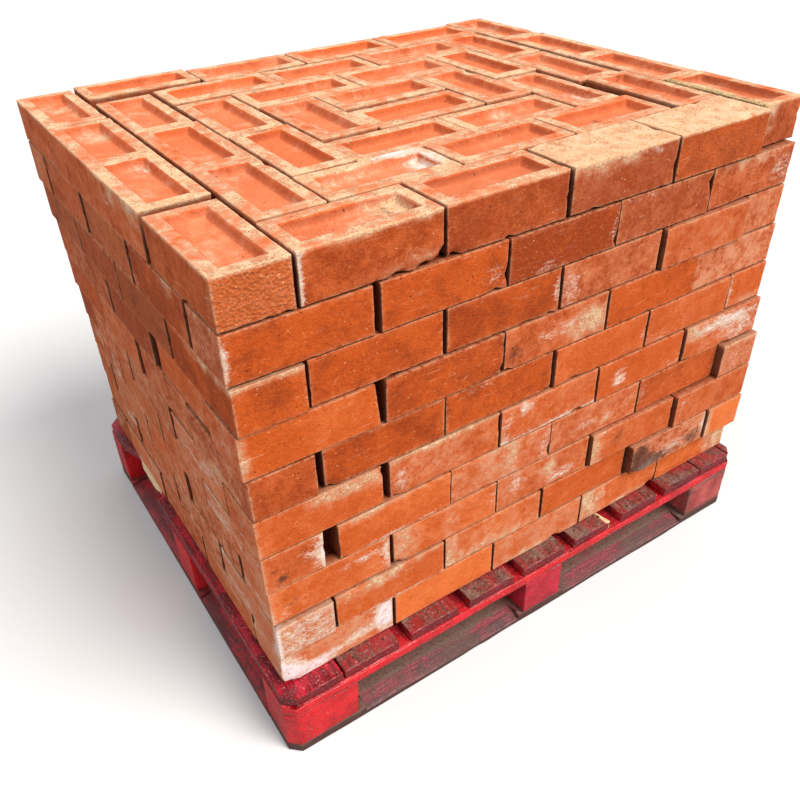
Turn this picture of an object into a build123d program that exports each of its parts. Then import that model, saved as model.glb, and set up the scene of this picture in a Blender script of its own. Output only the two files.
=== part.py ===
"""Ten interlocking courses of frogged bricks, stacked dry on a four-way block pallet.

Millimetres, Z up. The origin is on the floor under the middle of the pallet.
X runs along the pallet's long side and Y runs away from its front.
"""
import os

from build123d import *

# Brick, lying on its bed
brick_length = 232
brick_width = 112
brick_height = 81
end_rim = 21            # flat rim between the frog and each end
side_rim = 23           # flat rim between the frog and each long side
frog_depth = 14
frog_slope = 10         # the frog's walls lean out by this much from floor to mouth

# Stack
courses = 10
rings = 4               # closed rings of bricks in each course, one inside the other
joint = 3.5             # least open joint between neighbouring bricks
nudge = 0.3             # step of the small sideways shifts of loosely laid bricks
twist = 0.2             # degrees, step of their small turns
set_back = 6            # the stack stands this much behind the pallet's middle

# Pallet
pallet_length = 1200
pallet_width = 1000
corner_cut = 20         # 45 degree cut on the four upright corners
base_thick = 22
block_height = 90
stringer_thick = 22
deck_thick = 22
board_width = 100       # stringers and base boards, and the blocks' size along Y
side_block = 145        # size along X of the blocks at both ends
centre_block = 100      # size along X of the blocks in the middle
edge_board = 117        # each of the two boards that close the deck at either end
deck_board = 112        # each of the boards spread over the middle of the deck
middle_boards = 5
edge_crack = 3          # crack between the two boards of an end pair
deck_reveal = 3         # the deck lies this much inside the stringers' edges
bevel_drop = 11         # lead-in bevel on the outer top edge of a base board
bevel_reach = 36
bevel_end = 14          # the bevel stops this far from the nearest block

# Damage to the deck
lost_strip_width = 22   # strip broken off the left board's outer edge
lost_strip_start = 140  # from the pallet's middle towards the back
lost_strip_length = 240
split_strip = 22        # strip split from the right board's outer edge
split_width = 5
split_length = 130
chip_width = 15         # corner broken off the fourth of the middle boards
chip_length = 95

pallet_height = base_thick + block_height + stringer_thick + deck_thick
stringer_level = base_thick + block_height
deck_level = stringer_level + stringer_thick
length_pitch = brick_length + joint
width_pitch = brick_width + joint
board_line = (pallet_width - board_width) / 2
end_line = (pallet_length - side_block) / 2

# Bricks that stand out of line, by course from the bottom: the ring from the
# outside in, the side and the place in its row, counted from the near left
# corner, then the shift in X and Y and the turn in degrees
strays = {
    2: {(0, "left", 0): (0, -8, 0), (0, "front", 0): (0, -3, 0), (0, "front", 1): (0, 1, 0),
        (0, "front", 2): (0, 2, 0), (0, "front", 3): (2, -13, 0.5), (0, "right", 0): (0, -16, 0)},
    3: {(0, "left", 0): (0, 8, 0), (0, "left", 1): (0, 5, 0), (0, "left", 2): (0, 1, 0),
        (0, "front", 2): (0, 3, 0), (0, "front", 3): (0, -4, 0), (0, "front", 4): (0, -12, 0)},
    4: {(0, "left", 0): (-3, -3, 0), (0, "front", 0): (14, -3, 0), (0, "front", 1): (11, 0, 0),
        (0, "front", 2): (8, 2, 0), (0, "front", 3): (5, 0, 0), (0, "right", 0): (3, -14, 0)},
    5: {(0, "front", 0): (-2, 0, 0), (0, "front", 4): (0, -4, 0)},
    6: {(0, "left", 0): (-1, -4, 0), (0, "front", 0): (3, 0, 0), (0, "front", 1): (0, 2, 0),
        (0, "right", 0): (0, 2, 0), (0, "right", 1): (0, 1, 0)},
    7: {(0, "front", 0): (-3, 0, -0.5), (0, "front", 4): (0, 5, 0), (0, "right", 0): (0, 4, 0),
        (0, "right", 1): (0, 2, 0)},
    8: {(0, "left", 0): (0, -5, 0), (0, "front", 3): (0, -5, 0), (0, "right", 0): (0, 4, 0),
        (0, "right", 1): (0, 3, 0), (0, "right", 2): (0, 2, 0), (0, "right", 3): (0, 1, 0)},
    9: {(0, "left", 0): (0, 1, 0), (0, "left", 2): (0, 3, 0), (0, "front", 4): (0, 4, 0),
        (0, "right", 0): (0, 4, 0), (0, "right", 1): (0, 2, 0)},
    10: {(0, "left", 1): (0, 3, 0.6), (0, "left", 3): (0, 2, 0), (0, "back", 0): (1, 16, 0),
         (0, "back", 1): (1, 5, -0.8), (0, "right", 0): (12, 21, 0), (0, "right", 1): (6, 20, 0),
         (0, "right", 2): (5, 18, 0), (0, "right", 3): (2, 17, 0), (1, "front", 2): (3, 0, 0),
         (1, "right", 0): (7, -1, 0), (1, "right", 1): (2, 1, 0), (1, "right", 2): (1, 2, 0),
         (3, "left", 0): (-1, 0, 0), (3, "front", 0): (0, 0, 1)},
}
# Bricks of the outer ring of the top course that lie frog down
turned_over = [("front", 2), ("front", 3)]
# Shift in X and Y and turn in degrees of each whole course, from the bottom up
course_shifts = [(6, 1, 0), (7, -1, -0.3), (7, -1, -0.2), (5, 1, -0.1), (2, 0, 0.1),
                 (0, 1, 0.2), (-2, -1, 0.3), (-4, 1, 0.4), (-6, 0, 0.5), (-6, 0, 0.45)]


def frog():
    """The frog's hollow, floor down, with the middle of its mouth at the origin."""
    long_mouth = brick_length / 2 - end_rim
    short_mouth = brick_width / 2 - side_rim
    views = ((Plane.XZ, long_mouth, short_mouth, Mode.ADD), (Plane.YZ, short_mouth, long_mouth, Mode.INTERSECT))
    with BuildPart() as hollow:
        for plane, mouth, reach, mode in views:
            with BuildSketch(plane):
                with BuildLine():
                    Polyline((-mouth, 0), (mouth, 0), (mouth - frog_slope, -frog_depth),
                             (frog_slope - mouth, -frog_depth), close=True)
                make_face()
            extrude(amount=reach, both=True, mode=mode)
    return hollow.part


def brick(frog_up):
    """One pressed brick on its bed, with its frog in the top or the bottom face."""
    mouth = Location((0, 0, brick_height)) if frog_up else Location((0, 0, 0), (180, 0, 0))
    with BuildPart() as body:
        with BuildSketch():
            Rectangle(brick_length, brick_width)
        extrude(amount=brick_height)
        with Locations(mouth):
            add(frog(), mode=Mode.SUBTRACT)
    return body.part


def ring_sizes(corner_headers):
    """Counts and outside sizes, with a joint, of a course's rings from the outside in."""
    sizes = []
    size_x, size_y = 0, 0
    for ring in reversed(range(rings)):
        if corner_headers:
            in_row = in_column = rings - ring
            size_x = max(in_row * length_pitch, size_x) + 2 * width_pitch
            size_y = max(in_column * length_pitch, size_y + 2 * width_pitch)
        else:
            in_row = rings + 1 - ring
            in_column = rings - 1 - ring
            size_x = max(in_row * length_pitch, size_x + 2 * width_pitch)
            size_y = max(in_column * length_pitch, size_y) + 2 * width_pitch
        sizes.insert(0, (in_row, in_column, size_x, size_y))
    return sizes


def stack_size():
    """Size that the outer ring of every course is spread to, so that all courses are flush."""
    outer_rings = ring_sizes(True)[0], ring_sizes(False)[0]
    return max(ring[2] for ring in outer_rings), max(ring[3] for ring in outer_rings)


def spread(count, span):
    """Middles of a number of bricks laid evenly over a span, the outer two at its ends."""
    pitch = (span - length_pitch) / max(count - 1, 1)
    return [(place - (count - 1) / 2) * pitch for place in range(count)]


def course_layout(number):
    """Ring, side, place and position of each brick; ends show at the near corner
    in every second course, so that the courses interlock."""
    corner_headers = number % 2 == 0
    layout = []
    for ring, (in_row, in_column, size_x, size_y) in enumerate(ring_sizes(corner_headers)):
        if ring == 0:
            size_x, size_y = stack_size()
        across_x = (size_x - width_pitch) / 2
        across_y = (size_y - width_pitch) / 2
        row_span = size_x - 2 * width_pitch if corner_headers else size_x
        column_span = size_y if corner_headers else size_y - 2 * width_pitch
        for place, along in enumerate(spread(in_row, row_span)):
            layout.append((ring, "front", place, along, -across_y, 0))
            layout.append((ring, "back", place, along, across_y, 0))
        for place, along in enumerate(spread(in_column, column_span)):
            layout.append((ring, "left", place, -across_x, along, 90))
            layout.append((ring, "right", place, across_x, along, 90))
    return layout


def course(number):
    """One course of bricks, each a solid that stands clear of its neighbours."""
    level = pallet_height + (number - 1) * brick_height
    shift_x, shift_y, course_turn = course_shifts[(number - 1) % len(course_shifts)]
    middle = Location((shift_x, set_back + shift_y, level), (0, 0, course_turn))
    upright, overturned = [], []
    for count, (ring, side, place, x, y, turn) in enumerate(course_layout(number)):
        stray_x, stray_y, stray_turn = strays.get(number, {}).get((ring, side, place), (0, 0, 0))
        x += stray_x + ((3 * count + 5 * number) % 5 - 2) * nudge
        y += stray_y + ((2 * count + 3 * number) % 5 - 2) * nudge
        turn += stray_turn + ((count + 2 * number) % 3 - 1) * twist
        frog_down = number == courses and ring == 0 and (side, place) in turned_over
        spots = overturned if frog_down else upright
        spots.append(middle * Location((x, y, 0), (0, 0, turn)))
    with BuildPart() as layer:
        with Locations(*upright):
            add(brick(frog_up=True))
        if overturned:
            with Locations(*overturned):
                add(brick(frog_up=False))
    return layer.part


def corner_cuts(inset):
    """The four upright prisms that take the pallet's corners off."""
    half_x = pallet_length / 2 - inset
    half_y = pallet_width / 2 - inset
    with BuildPart() as prisms:
        with BuildSketch():
            for x in (-half_x, half_x):
                for y in (-half_y, half_y):
                    with Locations(Location((x, y), 45)):
                        Rectangle(corner_cut * 2**0.5, corner_cut * 2**0.5)
        extrude(amount=pallet_height)
    return prisms.part


def timber(x, y, level, size_x, size_y, thick, inset=0):
    """A sawn piece of the pallet, cut at 45 degrees where it reaches a corner."""
    with BuildPart() as piece:
        with BuildSketch(Plane.XY.offset(level)):
            with Locations((x, y)):
                Rectangle(size_x, size_y)
        extrude(amount=thick)
        add(corner_cuts(inset), mode=Mode.SUBTRACT)
    return piece.part


def bevel(length):
    """Prism along X that bevels a top edge running along X through the origin."""
    with BuildPart() as prism:
        with BuildSketch(Plane.YZ):
            with BuildLine():
                Polyline((0, base_thick - bevel_drop), (bevel_reach, base_thick),
                         (0, base_thick), close=True)
            make_face()
        extrude(amount=length / 2, both=True)
    return prism.part


def long_base_board(side):
    """Base board along X; side is -1 at the front and 1 at the back."""
    start = pallet_length / 2 - side_block - bevel_end
    end = centre_block / 2 + bevel_end
    turn = 0 if side < 0 else 180
    with BuildPart() as board:
        add(timber(0, side * board_line, 0, pallet_length, board_width, base_thick))
        for half in (-1, 1):
            spot = (half * (start + end) / 2, side * pallet_width / 2, 0)
            with Locations(Location(spot, (0, 0, turn))):
                add(bevel(start - end), mode=Mode.SUBTRACT)
    return board.part


def cross_base_board(side):
    """Base board along Y between the long ones; side is -1, 0 or 1 from the left."""
    length = pallet_width - 2 * board_width
    width = side_block if side else centre_block
    start = length / 2 - bevel_end
    end = board_width / 2 + bevel_end
    with BuildPart() as board:
        add(timber(side * end_line, 0, 0, width, length, base_thick))
        for half in (-1, 1):
            spot = (side * pallet_length / 2, half * (start + end) / 2, 0)
            if side:
                with Locations(Location(spot, (0, 0, side * 90))):
                    add(bevel(start - end), mode=Mode.SUBTRACT)
    return board.part


def deck_lines():
    """Middle line and width of each deck board, from the left."""
    half_deck = pallet_length / 2 - deck_reveal
    outer = half_deck - edge_board / 2
    inner = outer - edge_board - edge_crack
    open_deck = 2 * (inner - edge_board / 2)
    gap = (open_deck - middle_boards * deck_board) / (middle_boards + 1)
    lines = [(-outer, edge_board), (-inner, edge_board)]
    for place in range(middle_boards):
        step = (place - (middle_boards - 1) / 2) * (deck_board + gap)
        lines.append((step, deck_board))
    return lines + [(inner, edge_board), (outer, edge_board)]


def whole_deck_board(x, width):
    """A deck board along Y, from front to back."""
    length = pallet_width - 2 * deck_reveal
    return timber(x, 0, deck_level, width, length, deck_thick, inset=deck_reveal)


def broken_left_board(x, width):
    """The left edge board, with a long strip broken off its outer edge."""
    edge = x - width / 2
    end = lost_strip_start + lost_strip_length
    with BuildPart() as board:
        add(whole_deck_board(x, width))
        with BuildSketch(Plane.XY.offset(deck_level)):
            with BuildLine():
                Polyline((edge, lost_strip_start), (edge + lost_strip_width / 2, lost_strip_start),
                         (edge + lost_strip_width, lost_strip_start + 2 * lost_strip_width),
                         (edge + lost_strip_width, end - 3 * lost_strip_width),
                         (edge, end), close=True)
            make_face()
        extrude(amount=deck_thick, mode=Mode.SUBTRACT)
    return board.part


def split_right_board(x, width):
    """The right edge board, split along the grain from its front end."""
    split = x + width / 2 - split_strip
    front = -pallet_width / 2 + deck_reveal
    with BuildPart() as board:
        add(whole_deck_board(x, width))
        with BuildSketch(Plane.XY.offset(deck_level)):
            with BuildLine():
                Polyline((split, front), (split + split_width, front),
                         (split, front + split_length), close=True)
            make_face()
        extrude(amount=deck_thick, mode=Mode.SUBTRACT)
    return board.part


def chipped_board(x, width):
    """A deck board with a long splinter gone from its near right corner."""
    edge = x + width / 2
    front = -pallet_width / 2 + deck_reveal
    with BuildPart() as board:
        add(whole_deck_board(x, width))
        with BuildSketch(Plane.XY.offset(deck_level)):
            with BuildLine():
                Polyline((edge - chip_width / 2, front), (edge - chip_width, front + chip_length / 2),
                         (edge, front + chip_length), (edge, front), close=True)
            make_face()
        extrude(amount=deck_thick, mode=Mode.SUBTRACT)
    return board.part


pieces = {}
for number in range(1, courses + 1):
    pieces[f"brick_course_{number:02d}"] = course(number)

boards = deck_lines()
pieces["deck_board_1"] = broken_left_board(*boards[0])
pieces["deck_board_2"] = whole_deck_board(*boards[1])
for place in range(2, 2 + middle_boards):
    shape = chipped_board if place == 5 else whole_deck_board
    pieces[f"deck_board_{place + 1}"] = shape(*boards[place])
pieces[f"deck_board_{middle_boards + 3}"] = whole_deck_board(*boards[-2])
pieces[f"deck_board_{middle_boards + 4}"] = split_right_board(*boards[-1])

for row, row_name in ((-1, "front"), (0, "middle"), (1, "back")):
    y = row * board_line
    pieces[f"stringer_{row_name}"] = timber(0, y, stringer_level, pallet_length, board_width, stringer_thick)
    for column, column_name in ((-1, "left"), (0, "centre"), (1, "right")):
        size_x = side_block if column else centre_block
        block = timber(column * end_line, y, base_thick, size_x, board_width, block_height)
        pieces[f"block_{row_name}_{column_name}"] = block

pieces["base_board_front"] = long_base_board(-1)
pieces["base_board_back"] = long_base_board(1)
pieces["base_board_left"] = cross_base_board(-1)
pieces["base_board_centre"] = cross_base_board(0)
pieces["base_board_right"] = cross_base_board(1)

os.makedirs("parts", exist_ok=True)
for name, piece in pieces.items():
    piece.label = name
    export_step(piece, f"parts/{name}.step")
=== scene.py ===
import math

import bmesh
import bpy
import numpy as np
from mathutils import Matrix, Vector


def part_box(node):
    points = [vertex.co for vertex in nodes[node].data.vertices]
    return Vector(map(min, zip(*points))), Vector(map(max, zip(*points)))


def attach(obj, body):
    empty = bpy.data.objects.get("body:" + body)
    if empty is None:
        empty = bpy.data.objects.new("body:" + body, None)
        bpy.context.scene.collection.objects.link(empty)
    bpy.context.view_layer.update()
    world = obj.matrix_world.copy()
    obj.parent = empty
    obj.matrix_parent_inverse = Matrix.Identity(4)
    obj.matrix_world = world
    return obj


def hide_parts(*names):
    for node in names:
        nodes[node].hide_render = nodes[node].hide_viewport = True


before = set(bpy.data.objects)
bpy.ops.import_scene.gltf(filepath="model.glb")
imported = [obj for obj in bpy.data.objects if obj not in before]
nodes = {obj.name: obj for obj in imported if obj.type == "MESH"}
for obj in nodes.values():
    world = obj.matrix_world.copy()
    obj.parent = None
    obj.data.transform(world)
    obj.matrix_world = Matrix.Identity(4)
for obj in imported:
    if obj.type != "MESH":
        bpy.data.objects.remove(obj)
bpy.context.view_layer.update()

# Sizes, in metres
LENGTH, WIDTH, HEIGHT = 0.232, 0.112, 0.081
JOINT = 0.0035
FROG_X, FROG_Y = LENGTH / 2 - 0.021, WIDTH / 2 - 0.023      # half the frog's mouth
FROG_DEPTH, FROG_SLOPE = 0.013, 0.009
SLACK = 0.0006              # the templates are this much smaller than the solids, at the sides and the top
HALF_X, HALF_Y, TALL = LENGTH / 2 - SLACK, WIDTH / 2 - SLACK, HEIGHT - SLACK
ARRIS = 0.0013              # radius of the arrises
WEAR_REACH = 0.014          # wear pulls the points towards a core this far in
RIM_REACH = 0.030           # how far the sand of a rim reaches in
STACK_X, STACK_Y = 0.53, 0.41       # a side of a brick that lies beyond these faces out of the stack
PALLET_TOP = 0.156
RINGS, COURSES = 4, 10
CHALKY_PAINTED_LIGHT_COURSES = 6          # up to this course the left side is chalky and lightened by painted light; above it hidden left bricks get painted shade


# Noise

def lattice(i, j, k, seed):
    """Repeatable values between -1 and 1 at whole places, from a hash of the place."""
    h = (i * 374761393 + j * 668265263 + k * 1440662683 + seed * 974634777) & 0xFFFFFFFF
    h = ((h ^ (h >> 13)) * 1274126177) & 0xFFFFFFFF
    return ((h ^ (h >> 16)) & 0xFFFF) / 32767.5 - 1.0


def noise(p, size, seed=0):
    """Smooth noise between -1 and 1 with lumps of that size, or of one size per axis."""
    q = p / np.asarray(size, float) + 4096.0
    i = np.floor(q).astype(np.int64)
    f = q - i
    f = f * f * (3 - 2 * f)
    total = np.zeros(len(p))
    for dx in (0, 1):
        wx = f[:, 0] if dx else 1 - f[:, 0]
        for dy in (0, 1):
            wy = f[:, 1] if dy else 1 - f[:, 1]
            for dz in (0, 1):
                wz = f[:, 2] if dz else 1 - f[:, 2]
                total += wx * wy * wz * lattice(i[:, 0] + dx, i[:, 1] + dy, i[:, 2] + dz, seed)
    return total


def patches(p, size, seed, floor=0.0, gain=1.0):
    """Soft patches from 0 to 1, fewer with a lower floor and stronger with a higher gain."""
    return np.clip(floor + gain * noise(p, size, seed), 0, 1)


def smooth(x, low, high):
    t = np.clip((x - low) / (high - low), 0, 1)
    return t * t * (3 - 2 * t)


def near_to(distance, reach):
    """1 where the distance is nothing, fading out around that reach."""
    return np.exp(-(distance / reach) ** 2)


# Brick shapes

def lines(half, *insets, step):
    """Grid lines from -half to half: close to the edges, at the given insets, then evenly."""
    side = [half - d for d in sorted(insets)]
    free = side[-1]
    count = max(1, round(2 * free / step))
    even = [-free + 2 * free * n / count for n in range(1, count)]
    return np.array(sorted([-s for s in side] + even + side))


def upright(*depths):
    """Levels at those depths below the top."""
    return np.array(sorted(TALL - depth for depth in depths))


def box_shell(xs, ys, zs, top, bottom):
    """Shell of a box on grid lines, with a grid or a frog on top and a grid or one face below."""
    ids, points, faces = {}, [], []

    def point(*key):
        if key not in ids:
            ids[key] = len(points)
            points.append((xs[key[0]], ys[key[1]], zs[key[2]]))
        return ids[key]

    def quad(*corners):
        faces.append([point(*corner) for corner in corners])

    nx, ny, nz = len(xs) - 1, len(ys) - 1, len(zs) - 1
    for k in range(nz):
        for i in range(nx):
            quad((i, 0, k), (i + 1, 0, k), (i + 1, 0, k + 1), (i, 0, k + 1))
            quad((i + 1, ny, k), (i, ny, k), (i, ny, k + 1), (i + 1, ny, k + 1))
        for j in range(ny):
            quad((0, j + 1, k), (0, j, k), (0, j, k + 1), (0, j + 1, k + 1))
            quad((nx, j, k), (nx, j + 1, k), (nx, j + 1, k + 1), (nx, j, k + 1))
    loop = [(i, 0) for i in range(nx)] + [(nx, j) for j in range(ny)]
    loop += [(i, ny) for i in range(nx, 0, -1)] + [(0, j) for j in range(ny, 0, -1)]
    if top == "grid":
        for i in range(nx):
            for j in range(ny):
                quad((i, j, nz), (i + 1, j, nz), (i + 1, j + 1, nz), (i, j + 1, nz))
    else:
        rings = [[point(i, j, nz) for i, j in loop]]
        for slope, drop in ((0, 0), (FROG_SLOPE, FROG_DEPTH)):
            rings.append([len(points) + n for n in range(len(loop))])
            for i, j in loop:
                x = xs[i] * (FROG_X - slope) / xs[-1]
                y = ys[j] * (FROG_Y - slope) / ys[-1]
                points.append((x, y, zs[-1] - drop))
        for outer, inner in zip(rings, rings[1:]):
            for n in range(len(loop)):
                m = (n + 1) % len(loop)
                faces.append([outer[n], outer[m], inner[m], inner[n]])
        faces.append(rings[-1])
    if bottom == "grid":
        for i in range(nx):
            for j in range(ny):
                quad((i, j, 0), (i, j + 1, 0), (i + 1, j + 1, 0), (i + 1, j, 0))
    else:
        quad(*((i, j, 0) for i, j in reversed(loop)))
    return np.array(points), faces


def template(xs, ys, zs, top="ring", bottom="face"):
    """A brick with rounded arrises and its frog, and per point what wear and looks need."""
    points, faces = box_shell(xs, ys, zs, top, bottom)
    half = np.array([HALF_X, HALF_Y, TALL / 2])
    middle = np.array([0, 0, half[2]])
    flat = points - middle
    edge = np.sort(half - np.abs(flat), axis=1)[:, 1]
    core = np.clip(flat, -(half - ARRIS), half - ARRIS)
    away = flat - core
    size = np.linalg.norm(away, axis=1, keepdims=True)
    away = np.divide(away, size, out=np.zeros_like(away), where=size > 1e-9)
    shaped = core + away * np.minimum(size, ARRIS)
    if top == "grid":
        on_top = np.abs(flat[:, 2] - half[2]) < 1e-9
        reach = np.minimum(FROG_X - np.abs(flat[:, 0]), FROG_Y - np.abs(flat[:, 1]))
        sunk = np.where(on_top, np.clip(reach / FROG_SLOPE, 0, 1), 0)
        shaped[:, 2] -= sunk * FROG_DEPTH
    else:
        low = (np.abs(flat[:, 0]) < FROG_X) & (np.abs(flat[:, 1]) < FROG_Y) & (flat[:, 2] > half[2] - 0.02)
        sunk = np.where(low, 1.0, 0.0)
        shaped = np.where(low[:, None], flat, shaped)
    pull = np.clip(shaped, -(half - WEAR_REACH), half - WEAR_REACH) - shaped
    pull /= np.maximum(np.linalg.norm(pull, axis=1, keepdims=True), 1e-9)
    return {"points": shaped + middle, "faces": faces, "edge": edge, "sunk": sunk, "pull": pull}


# The frog's wall needs lines at its foot, its head and between
wall = (-.0005, .0005, .003, .006, FROG_SLOPE - .0007, FROG_SLOPE + .001)
wall_x = [HALF_X - FROG_X + d for d in wall]
wall_y = [HALF_Y - FROG_Y + d for d in wall]
fine_x = lines(HALF_X, 0, .0005, .0013, .003, .007, .013, *wall_x, step=.0105)
fine_y = lines(HALF_Y, 0, .0005, .0013, .003, .007, .014, *wall_y, step=.009)
all_z = upright(0, .0005, .0013, .003, .007, .015, .025, .035, .045, .055, .065, .073, .0775, .0791, TALL)
top_z = upright(0, .0005, .0013, .003, .008, .02, TALL)
side_x = lines(HALF_X, 0, .0006, .0014, .0034, .009, step=.0105)
side_y = lines(HALF_Y, 0, .0006, .0014, .0034, .009, step=.0105)
side_z = upright(0, .0006, .0014, .0034, .010, .022, .034, .046, .058, .070, .0768, .079, TALL)
rough_x = np.array([-HALF_X, -HALF_X + .003, 0, HALF_X - .003, HALF_X])
rough_y = np.array([-HALF_Y, -HALF_Y + .003, HALF_Y - .003, HALF_Y])

# The finest for the outer bricks of the top course and those with the frog down, then for the rest of
# the top course and the outer bricks below. Bricks deep in the stack are plain.
templates = {
    "best": template(fine_x, fine_y, all_z, top="grid"),
    "down": template(fine_x, fine_y, TALL - all_z[::-1], bottom="grid"),
    "top": template(fine_x, fine_y, top_z, top="grid"),
    "side": template(side_x, side_y, side_z),
    "plain": template(rough_x, rough_y, upright(0, .003, TALL)),
}


# Where the bricks lie

def islands(obj):
    """Middle, turn, lowest and highest level of each brick of a course's solids."""
    mesh = obj.data
    co = np.zeros(len(mesh.vertices) * 3)
    mesh.vertices.foreach_get("co", co)
    co = co.reshape(-1, 3)
    _, same = np.unique(np.round(co, 5), axis=0, return_inverse=True)
    same = same.ravel()
    parent = list(range(same.max() + 1))

    def root(a):
        while parent[a] != a:
            parent[a] = parent[parent[a]]
            a = parent[a]
        return a

    for polygon in mesh.polygons:
        first, *rest = [same[v] for v in polygon.vertices]
        for other in rest:
            a, b = root(first), root(other)
            if a != b:
                parent[a] = b
    groups = {}
    for vertex, s in enumerate(same):
        groups.setdefault(root(s), []).append(vertex)
    found = []
    for group in groups.values():
        p = np.unique(np.round(co[group], 6), axis=0)
        low, high = p[:, 2].min(), p[:, 2].max()
        foot = p[np.abs(p[:, 2] - low) < 1e-5]
        head = p[np.abs(p[:, 2] - high) < 1e-5]
        middle = p[:, :2].mean(0)
        away = head[:, :2] - middle
        corners = away[np.argsort(-np.linalg.norm(away, axis=1))[:4]]
        corners = corners[np.argsort(np.arctan2(corners[:, 1], corners[:, 0]))]
        sides = np.roll(corners, -1, axis=0) - corners
        long_side = sides[np.argmax(np.linalg.norm(sides, axis=1))]
        turn = math.atan2(long_side[1], long_side[0]) % math.pi
        if turn > math.pi * 0.75:
            turn -= math.pi
        down = len(foot) > len(head)
        found.append({"x": middle[0], "y": middle[1], "turn": turn, "low": low, "high": high, "down": down})
    return found


def layout(number):
    """Ring, side, place and nominal middle of each brick, as in the part's source."""
    long_pitch, short_pitch = LENGTH + JOINT, WIDTH + JOINT
    headers = number % 2 == 0
    result = []
    for ring in range(RINGS):
        in_row = RINGS - ring if headers else RINGS + 1 - ring
        in_column = RINGS - ring if headers else RINGS - 1 - ring
        size_x = in_row * long_pitch + (2 * short_pitch if headers else 0)
        size_y = in_column * long_pitch + (0 if headers else 2 * short_pitch)
        for place in range(in_row):
            along = (place - (in_row - 1) / 2) * long_pitch
            result.append((ring, "front", place, along, -(size_y - short_pitch) / 2))
            result.append((ring, "back", place, along, (size_y - short_pitch) / 2))
        for place in range(in_column):
            along = (place - (in_column - 1) / 2) * long_pitch
            result.append((ring, "left", place, -(size_x - short_pitch) / 2, along))
            result.append((ring, "right", place, (size_x - short_pitch) / 2, along))
    return result


def front_row(course):
    """Side and place of the bricks that show in the front of a course, from the left."""
    if course % 2:
        return [("front", place) for place in range(RINGS + 1)]
    return [("left", 0)] + [("front", place) for place in range(RINGS)] + [("right", 0)]


# What the bricks of the photograph show, judged one by one. Courses count from 1 at the bottom to 10.

# The top course by ring and side, from the left or the front. The first four digits say how sandy the
# left, right, near and far rim are. Where two more follow, they are the tint, from dark to light, and
# the pinkness. All run from 0 to 9.
top_bricks = {
    (0, "left"): ["3484 55", "7886 54", "3463 54", "7636 54"],
    (0, "front"): ["4665 52", "5645 43", "9999", "9999"],
    (0, "right"): ["8434 42", "4648 55", "7885 56", "5572 56"],
    (0, "back"): ["6678 52", "5555 57", "3436 60", "3536 61"],
    (1, "left"): ["4673 43", "3546 51", "4684 55"],
    (1, "front"): ["8949 66", "6633 43", "7532 51"],
    (1, "right"): ["4545 38", "4644 56", "3443 51"],
    (1, "back"): ["6757 60", "3747 54", "3534 57"],
    (2, "left"): ["6678 40", "3762 54"],
    (2, "front"): ["6767 41", "8847 56"],
    (2, "right"): ["5454 46", "9899 42"],
    (2, "back"): ["9989 53", "6437 66"],
    (3, "left"): ["3543 46"],
    (3, "right"): ["6555 56"],
    (3, "back"): ["6665 54"],
    (3, "front"): ["5644 51"],
}

# Tint and pinkness of the bricks that show in the front of each course, from the left, 0 to 9
front_tints = {
    10: "42 21 11 02 20 12", 9: "30 30 00 13 23", 8: "30 30 20 25 45 36", 7: "50 20 33 30 36",
    6: "21 20 30 51 52 51", 5: "51 42 54 51 55", 4: "43 61 58 48 31 48", 3: "62 62 46 53 44",
    2: "88 52 66 41 17 90", 1: "68 80 76 62 60",
}

# A mark says its channel, its place along and up the face, its reach along and up, and its strength.
# Places and reaches are shares of the face.

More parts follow.
